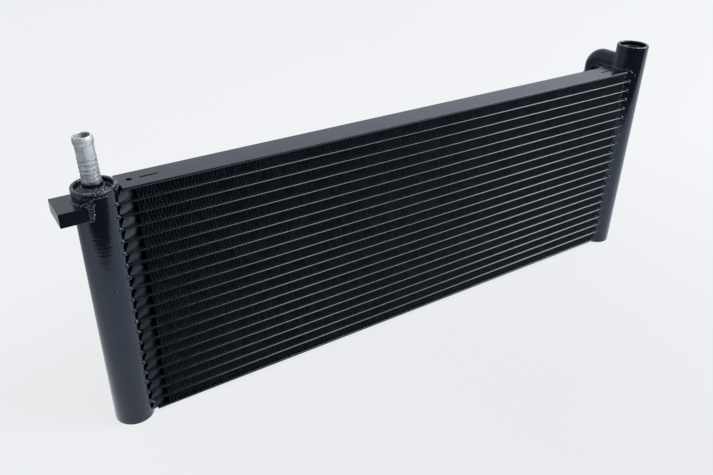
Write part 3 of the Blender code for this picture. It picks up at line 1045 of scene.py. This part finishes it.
def fold_wave(depth, crest, leg):
    """One wave of strip from crest to crest, starting at x = 0."""
    wave = begin(bpy.ops.mesh.primitive_grid_add, x_subdivisions=1, y_subdivisions=SLATS, size=1)
    edit(wave, "EDGE")
    pick_all()
    bpy.ops.transform.resize(value=(CREST_HALF, depth, 1))
    bpy.ops.transform.translate(value=(CREST_HALF / 2, 0, crest))
    pick_edges(lambda a, b: min(a.x, b.x) > CREST_HALF / 2)
    fold = (FOLD_SIDE - CREST_HALF, FOLD_DROP)
    fall = (leg - 2 * FOLD_SIDE, 2 * (crest - FOLD_DROP))
    rise = [fold, fall, fold]
    steps = [(along, -up) for along, up in rise] + [(2 * CREST_HALF, 0)] + rise + [(CREST_HALF, 0)]
    for along, up in steps:
        bpy.ops.mesh.extrude_edges_move(TRANSFORM_OT_translate={"value": (along, 0, up)})
    slat = depth / SLATS

    def on_pushed_line(place):
        line = round((place.y + depth / 2) / slat)
        return line % 2 == 1 and abs(place.z) < crest - FOLD_DROP / 2

    edit(wave, "VERT")
    pick_verts(on_pushed_line)
    bpy.ops.transform.translate(value=(SLAT_PUSH, 0, 0))
    return wave


def make_cushion(depth, side):
    """The rolled end of a strip beside a tank whose axis is at the origin, the core being at +X."""
    start, reach = CUSHION_START[side], CUSHION_REACH[side]
    size = (reach - start, depth, CUSHION_HEIGHT)
    cushion = block(size)
    pick_verts(lambda place: place.x < 0 and place.z > 0)
    bpy.ops.transform.translate(value=(CUSHION_LEAN, 0, 0))
    pick_verts(lambda place: place.x > 0)
    bpy.ops.transform.resize(value=(1, 1 - 2 * CUSHION_SLOPE / depth, 1), center_override=(0, 0, 0))
    pick_verts(lambda place: place.x > 0 and place.z > 0)
    bpy.ops.transform.translate(value=(-CUSHION_CLIP, 0, 0))
    apply_modifier(cushion, "SUBSURF", levels=4)
    cushion.dimensions = size
    move_to(cushion, (0, 0, 0))
    edit(cushion, "VERT")
    for face in (-1, 1):
        pick_verts(lambda place: place.z * face > CUSHION_PRESSED)
        bpy.ops.transform.resize(value=(1, 1, 0), center_override=(0, 0, face * CUSHION_PRESSED))
    move_to(cushion, ((start + reach) / 2, 0, 0))
    low, high = TANK_RADIUS + CUSHION_SEAT, TANK_RADIUS + CUSHION_GAP[side]
    tall = 2 * CUSHION_PRESSED + CUSHION_OVERCUT
    cone = {"vertices": ROUND, "radius1": low, "radius2": high, "depth": tall}
    cut(cushion, begin(bpy.ops.mesh.primitive_cone_add, **cone))
    smooth(cushion, CUSHION_ANGLE)
    return cushion


def fold_row(length):
    """A whole row of folded strip from x = 0, and its number of waves."""
    low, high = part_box("fin_row_01")
    waves = round(length / (2 * LEG_SPACING))
    leg = length / waves / 2
    crest = (TUBE_GAP - STRIP) / 2 - FIN_ROOM
    row = fold_wave(high.y - low.y - 2 * FIN_RECESS, crest, leg)
    offsets = {"use_relative_offset": False, "use_constant_offset": True}
    merge = {"use_merge_vertices": True, "merge_threshold": MERGE}
    step = (2 * leg, 0, 0)
    apply_modifier(row, "ARRAY", count=waves, constant_offset_displace=step, **offsets, **merge)
    apply_modifier(row, "SOLIDIFY", thickness=STRIP, offset=0)
    smooth(row, FOLD_ANGLE)
    return row, waves


def add_cushion(pattern, node_name, number, side):
    end = copy_of(pattern, (0, 0, 0))
    lean = math.radians(dice.uniform(-CUSHION_TURN, CUSHION_TURN))
    end.rotation_euler = (0, lean, 0 if side == "left" else math.pi)
    move_to(end, TANK_AXIS[side] + Vector((0, 0, middle(node_name).z)))
    roughen(end, *CUSHION_LUMPS[side])
    paint = CUSHION_PAINT[min(last for last in CUSHION_PAINT if last >= number)]
    settle(end, f"{node_name}_{side}_cushion", paint)


def make_fins():
    start = TANK_AXIS["left"].x + CUSHION_REACH["left"] - CUSHION_HOLD
    pattern, waves = fold_row(TANK_AXIS["right"].x - CUSHION_REACH["right"] - start)
    cushions = {side: make_cushion(tube_size.y, side) for side in SIDES}
    for number in range(1, FIN_ROWS + 1):
        node_name = f"fin_row_{number:02d}"
        seat = middle(node_name)
        shift = dice.uniform(-ROW_SHIFT, ROW_SHIFT)
        row = copy_of(pattern, (start + shift, seat.y, seat.z))
        roughen(row, ROW_BEND, ROW_GRAIN, "X")
        settle(row, node_name + "_folded", FIN_PAINT, [node_name])
        for side in SIDES:
            add_cushion(cushions[side], node_name, number, side)
    triangles = 2 * len(pattern.data.polygons)
    for piece in (pattern, *cushions.values()):
        bpy.data.objects.remove(piece)
    return waves, triangles


fin_waves, fin_triangles = make_fins()
print(FIN_ROWS, "fin rows of", fin_waves, "waves,", fin_triangles, "triangles each")

# %% [markdown]
# ## Side plates
# A flat strip closes the core above and below. Each has a small hole near its left end and a lengthwise
# slit near both, left from the jig that held the core for brazing. The strip starts as a cube whose
# edges are eased, and the hole and slits are then cut sharp.

# %% Side plates
PLATE_EASE = 0.55 * MM
PLATE_ANGLE = 60
PLATE_HOLE = 2.0 * MM
HOLE_SIDES = 24
CUT_DEPTH = 10 * MM
HOLE_INSET = 7.8 * MM
LEFT_SLIT_INSET = 14.8 * MM
LEFT_SLIT_LENGTH = 13.4 * MM
RIGHT_SLIT_INSET = 10.6 * MM
RIGHT_SLIT_LENGTH = 14.8 * MM
SLIT_WIDTH = 1.7 * MM
SLIT_ROUND = 0.49


def slit_cutter(x, y, z, length):
    cutter = block((length, SLIT_WIDTH, CUT_DEPTH), "EDGE")
    pick_edges(lambda a, b: abs(a.z - b.z) > MM)
    bpy.ops.mesh.bevel(offset=SLIT_WIDTH * SLIT_ROUND, segments=4, affect="EDGES")
    move_to(cutter, (x, y, z))
    return cutter


def make_plate(name):
    low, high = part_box(name)
    seat = (low + high) / 2
    plate = block(high - low, "FACE")
    move_to(plate, seat)
    ease_edges(plate, PLATE_EASE)
    drill(plate, (low.x + HOLE_INSET, seat.y, seat.z), PLATE_HOLE, CUT_DEPTH, HOLE_SIDES)
    left_slit = low.x + LEFT_SLIT_INSET + LEFT_SLIT_LENGTH / 2
    right_slit = high.x - RIGHT_SLIT_INSET - RIGHT_SLIT_LENGTH / 2
    cut(plate, slit_cutter(left_slit, seat.y, seat.z, LEFT_SLIT_LENGTH))
    cut(plate, slit_cutter(right_slit, seat.y, seat.z, RIGHT_SLIT_LENGTH))
    smooth(plate, PLATE_ANGLE)
    keep_flat(plate)
    settle(plate, name + "_strip", PLATE_PAINT, [name])
    print(name, [in_mm(length) for length in high - low], "mm")


make_plate("top_side_plate")
make_plate("bottom_side_plate")

# %% [markdown]
# ## Braze at the tube ends
# Where a tube enters a tank, a fillet of braze runs all the way round it and gathers in a drop at each
# nose. One fillet follows the line where the tube's outline meets the round tank, and a copy sits at
# every tube.

# %% Braze fillets
FILLET = 0.75 * MM
FILLET_STEPS = 14
BRAZE_LUMPS = 0.4 * MM
BRAZE_GRAIN = 2.5 * MM
NOSE_DROP_IN = (0.2, 0.9)
NOSE_DROP_OUT = (0.0, 0.7)
NOSE_DROP_SAG = (-0.3, 0.8)
NOSE_DROP_SIZE = (0.9, 1.4)


def fillet_path(inward):
    """Round the tube's outline, on the surface of a tank whose axis is at the origin."""
    half = tube_size.y / 2
    lift = tube_size.z / 2
    across = [half * (2 * step / FILLET_STEPS - 1) for step in range(FILLET_STEPS + 1)]
    outline = [(y, lift) for y in across] + [(half + lift / 2, 0)]
    outline += [(y, -lift) for y in reversed(across)] + [(-half - lift / 2, 0)]
    return [(inward * math.sqrt(TANK_RADIUS**2 - y**2), y, z) for y, z in outline]


def make_fillets(side):
    inward = INWARD[side]
    fillets = []
    pattern = weld_bead(fillet_path(inward), FILLET, closed=True)
    for name in TUBES:
        level = middle(name).z
        fillets.append(copy_of(pattern, TANK_AXIS[side] + Vector((0, 0, level))))
        for toward in (-1, 1):
            across = toward * (tube_size.y / 2 - dice.uniform(*NOSE_DROP_IN) * MM)
            out = dice.uniform(*NOSE_DROP_OUT) * MM
            along = inward * (math.sqrt(TANK_RADIUS**2 - across**2) + out)
            sag = dice.uniform(*NOSE_DROP_SAG) * MM
            place = TANK_AXIS[side] + Vector((along, across, level - sag))
            fillets.append(drops([(place, dice.uniform(*NOSE_DROP_SIZE) * MM)]))
    bpy.data.objects.remove(pattern)
    braze = join(fillets)
    roughen(braze, BRAZE_LUMPS, BRAZE_GRAIN)
    settle_weld(braze, side + "_tube_braze")
    print(braze.name, "round", TUBE_COUNT, "tubes")


for side in SIDES:
    make_fillets(side)

# %% [markdown]
# ## Other welds
# The collar is welded to its cap, the elbow to its tank and its bush, and the top plate's corners to
# the tanks. Weld metal fills the front of the left tank's well and has run over the rim. Drops are small
# spheres sunk in the skin, and a run of paint is a thin bead.

# %% Other welds
COLLAR_WELD = 0.9 * MM
COLLAR_WELD_OUT = 0.3 * MM
COLLAR_WELD_DROP = 1.2 * MM
ELBOW_WELD = 1.2 * MM
ELBOW_PUDDLES = 90
FILL_BEAD = 1.5 * MM
FILL_LUMPS = 1.1 * MM
FILL_GRAIN = 1.3 * MM
FILL_RUNS = [
    (8.8 * MM, 0.6 * MM, 198, 286), (10.6 * MM, 0.8 * MM, 192, 290), (12.2 * MM, 1.0 * MM, 196, 284),
]
RIM_RIPPLES = [(1.1 * MM, 212, 288), (3.5 * MM, 222, 286)]
RIPPLE_BEAD = 0.6 * MM
END_BEAD = 0.84 * MM
END_BEAD_OUT = 0.3 * MM
END_BEAD_TURNS = {"left": (-48, 48), "right": (132, 228)}
CORNER_TURN = {"left": -36, "right": 232}
CORNER_SPREAD = 4
CORNER_LUMPS = 0.8 * MM
CORNER_DROPS = {
    "left": [(0.5, 1.2), (2.0, 1.4), (3.6, 1.1), (5.0, 1.4), (6.6, 1.2), (8.2, 1.0)],
    "right": [(0.4, 1.0), (2.2, 1.2)],
}
PAINT_RUN = [(199, 217.4), (202, 212.5), (204.5, 207.8), (207.5, 202.5), (210.5, 198.0)]
RUN_BEAD = 0.75 * MM
SPATTER = [("left", 266, 122.3, 1.1), ("right", 211, 197.0, 1.1), ("right", 244, 191.6, 1.0)]


def ring_weld(name, centre, radius):
    """A level weld round a collar or a pipe."""
    path = arc(Vector(centre), radius, centre[2], *FULL_TURN)
    settle_weld(weld_bead(path, COLLAR_WELD), name)
    print(name, "radius", in_mm(radius), "mm")


def weld_elbow():
    """The weld follows the saddle where the pipe's round meets the tank's."""
    axis = TANK_AXIS["right"]
    path = []
    for step in range(ELBOW_PUDDLES):
        swing = math.tau * step / ELBOW_PUDDLES
        across = ELBOW_RADIUS * math.cos(swing)
        back = math.sqrt(TANK_RADIUS**2 - across**2)
        path.append((axis.x + across, axis.y + back, ELBOW_Z + ELBOW_RADIUS * math.sin(swing)))
    settle_weld(weld_bead(path, ELBOW_WELD, closed=True), "outlet_elbow_weld")
    print("elbow welded to its tank by", ELBOW_PUDDLES, "puddles")


def fill_pocket(rim_z):
    """Weld metal laid between the collar and the rim, which ran over the rim in two ripples."""
    axis = TANK_AXIS["left"]
    beads = []
    for radius, drop, start, end in FILL_RUNS:
        beads.append(weld_bead(arc(axis, radius, rim_z - drop, start, end), FILL_BEAD))
    for drop, start, end in RIM_RIPPLES:
        beads.append(weld_bead(arc(axis, TANK_RADIUS, rim_z - drop, start, end), RIPPLE_BEAD))
    fill = join(beads)
    roughen(fill, FILL_LUMPS, FILL_GRAIN)
    settle_weld(fill, "left_rim_fill")
    print("left rim filled with", len(FILL_RUNS), "runs")


def corner_welds(side):
    """Ragged drops down each corner where the top plate meets a tank, and a bead along its end."""
    axis = TANK_AXIS[side]
    plate_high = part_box("top_side_plate")[1].z
    places = []
    for toward in (1, -1):
        for fall, size in CORNER_DROPS[side]:
            turned = CORNER_TURN[side] + dice.uniform(-CORNER_SPREAD, CORNER_SPREAD)
            place = on_tank(side, turned, plate_high - fall * MM)
            place.y = axis.y + toward * (place.y - axis.y)
            places.append((place, size * MM))
    corners = drops(places, CORNER_LUMPS)
    along = arc(axis, TANK_RADIUS + END_BEAD_OUT, plate_high, *END_BEAD_TURNS[side])
    settle_weld(join([corners, weld_bead(along, END_BEAD)]), side + "_plate_weld")
    print(side, "plate corners welded")


def make_run_and_spatter():
    """A run of paint below the right tank's rim, and a few specks of weld spatter."""
    path = [tuple(on_tank("right", turned, height * MM)) for turned, height in PAINT_RUN]
    settle(weld_bead(path, RUN_BEAD), "right_tank_paint_run", TANK_PAINT)
    specks = [(on_tank(side, turned, height * MM), size * MM) for side, turned, height, size in SPATTER]
    settle_weld(drops(specks), "tank_spatter")
    print("one paint run and", len(specks), "specks")


left_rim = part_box("left_tank")[1].z
collar_seat = TANK_AXIS["left"] + Vector((-STEM_DRIFT, 0, left_rim - COLLAR_WELD_DROP))
ring_weld("inlet_collar_weld", collar_seat, collar_radius + COLLAR_WELD_OUT)
fill_pocket(left_rim)
for side in SIDES:
    corner_welds(side)
make_run_and_spatter()
weld_elbow()
ring_weld("outlet_collar_weld", (ELBOW_X, ELBOW_LEG_Y, elbow_low.z), ELBOW_RADIUS)

# %% [markdown]
# ## The studio
# The cooler stands on a white sheet that runs up behind it, in a room that is dark in front. The plate
# and the lug mirror the bright back, and the tanks, seen from above, mirror the sheet at their feet.
# The sheet ends on a slant some way in front, and the upper half of each tank mirrors that dark edge
# as a ragged wedge. One soft light overhead and a larger one to the right draw the bright lines along
# the tubes' noses. What a camera ray and a reflected ray meet on the floor and in the world is
# therefore set apart from the light that they give.

# %% Floor, world and lights
PALE = (0.89, 0.90, 0.92)
MIRRORED = (0.85, 0.91, 1.0)
# Painted shadow: the sheet seen by the camera is darker round this spot in front of the cooler.
PAINTED_SHADOW_PLACE = (0.05, -0.22, 0)
SHEET_SLANT = 0.32
SHEET_EDGE = -0.445
DARK_ROOM = 0.09
AMBIENT = 0.55
AMBIENT_TINT = (0.98, 0.99, 1.0)
LIGHT_TINT = (0.88, 0.94, 1.0)
SHEET_WHITE = (0.80, 0.80, 0.81)
SHEET_SHINE = 0.1
SHEET_ROUGHNESS = 0.9
SHEET_GLOW = 0.93
SHEET_FADE = 0.02
FLOOR_SIZE = 12
# Each fade goes from one value to another, between two places on the floor or two headings.
# A painted shadow round the spot in front of the cooler, and painted light toward the far right.
PAINTED_SHADOW_FADE = (0.89, 0.98, 0.05, 0.65)
PAINTED_LIGHT_RIGHT_FADE = (1.0, 1.05, 0.6, 2.2)
LIGHT_FADE = (1.3, 1.45, -0.1, 0.5)
BACK_FADE = (1.0, 0.45, -0.1, 0.2)
ROOM_FADE = (0.22, 1.08, -0.15, 0.15)


def mix_shader(tree, factor, first, second):
    return node(tree, "ShaderNodeMixShader", {0: factor, 1: first, 2: second}).outputs[0]


def glow(tree, kind, colour, strength=1.0):
    return node(tree, kind, {"Color": (*colour, 1), "Strength": strength}).outputs[0]


def by_ray(tree, other, seen, mirrored):
    """Mixes what camera rays and reflected rays meet with what all other rays meet."""
    path = node(tree, "ShaderNodeLightPath").outputs
    unseen = mix_shader(tree, path["Is Glossy Ray"], other, mirrored)
    return mix_shader(tree, path["Is Camera Ray"], unseen, seen)


def make_floor():
    floor = begin(bpy.ops.mesh.primitive_plane_add, size=FLOOR_SIZE)
    floor.name = "floor"
    material, tree, shader = new_material("white_sheet", SHEET_SHINE)
    shader.inputs["Base Color"].default_value = (*SHEET_WHITE, 1)
    shader.inputs["Roughness"].default_value = SHEET_ROUGHNESS
    x, y = place_on(tree, "X"), place_on(tree, "Y")
    # The camera sees the sheet as a glow, darker round a spot before the cooler as a painted shadow,
    # lighter far right as painted light.
    place = node(tree, "ShaderNodeTexCoord").outputs["Object"]
    off = node(tree, "ShaderNodeVectorMath", {0: place, 1: PAINTED_SHADOW_PLACE}, operation="DISTANCE")
    painted_shadow = between(tree, off.outputs["Value"], *PAINTED_SHADOW_FADE)
    painted_light_right = between(tree, x, *PAINTED_LIGHT_RIGHT_FADE)
    seen = glow(tree, "ShaderNodeEmission", PALE, product(tree, painted_shadow, painted_light_right))
    lit = mix_shader(tree, SHEET_GLOW, shader.outputs[0], seen)
    # Painted reflection: reflected rays see the sheet as a glow up to its slanted edge, lighter toward
    # the lights and darker behind the cooler.
    reach = maths(tree, "MULTIPLY_ADD", x, SHEET_SLANT, y)
    sheet = between(tree, reach, DARK_ROOM, 1.0, SHEET_EDGE - SHEET_FADE, SHEET_EDGE + SHEET_FADE)
    toward_light = between(tree, x, *LIGHT_FADE)
    away = between(tree, y, *BACK_FADE)
    strength = product(tree, product(tree, sheet, toward_light), away)
    mirrored = glow(tree, "ShaderNodeEmission", MIRRORED, strength)
    surface = by_ray(tree, shader.outputs[0], lit, mirrored)
    wire(tree, tree.nodes["Material Output"], surface=surface)
    floor.data.materials.append(material)
    print("sheet edge at y =", SHEET_EDGE, "-", SHEET_SLANT, "x")


def make_world():
    world = bpy.data.worlds.new("studio")
    bpy.context.scene.world = world
    world.use_nodes = True
    tree = world.node_tree
    heading = node(tree, "ShaderNodeTexCoord").outputs["Generated"]
    y = node(tree, "ShaderNodeSeparateXYZ", {0: heading}).outputs["Y"]
    back = between(tree, y, *ROOM_FADE)
    ambient = glow(tree, "ShaderNodeBackground", AMBIENT_TINT, AMBIENT)
    seen = glow(tree, "ShaderNodeBackground", PALE)
    mirrored = glow(tree, "ShaderNodeBackground", MIRRORED, back)
    wire(tree, tree.nodes["World Output"], surface=by_ray(tree, ambient, seen, mirrored))


def soft_light(name, place, aim, width, depth, watts):
    light = begin(bpy.ops.object.light_add, type="AREA", location=place)
    light.name = name
    light.data.shape = "RECTANGLE"
    light.data.size = width
    light.data.size_y = depth
    light.data.energy = watts
    light.data.color = LIGHT_TINT
    heading = Vector(aim) - Vector(place)
    light.rotation_euler = heading.to_track_quat("-Z", "Y").to_euler()
    print(name, watts, "W at", place)


make_floor()
make_world()
soft_light("overhead", (0.55, -0.7, 1.28), (0, 0, 0.1), width=0.42, depth=0.9, watts=15)
soft_light("right_window", (1.47, -0.75, 1.3), (0.1, 0, 0.1), width=1.1, depth=0.8, watts=41)
bpy.context.scene.view_settings.view_transform = "Standard"
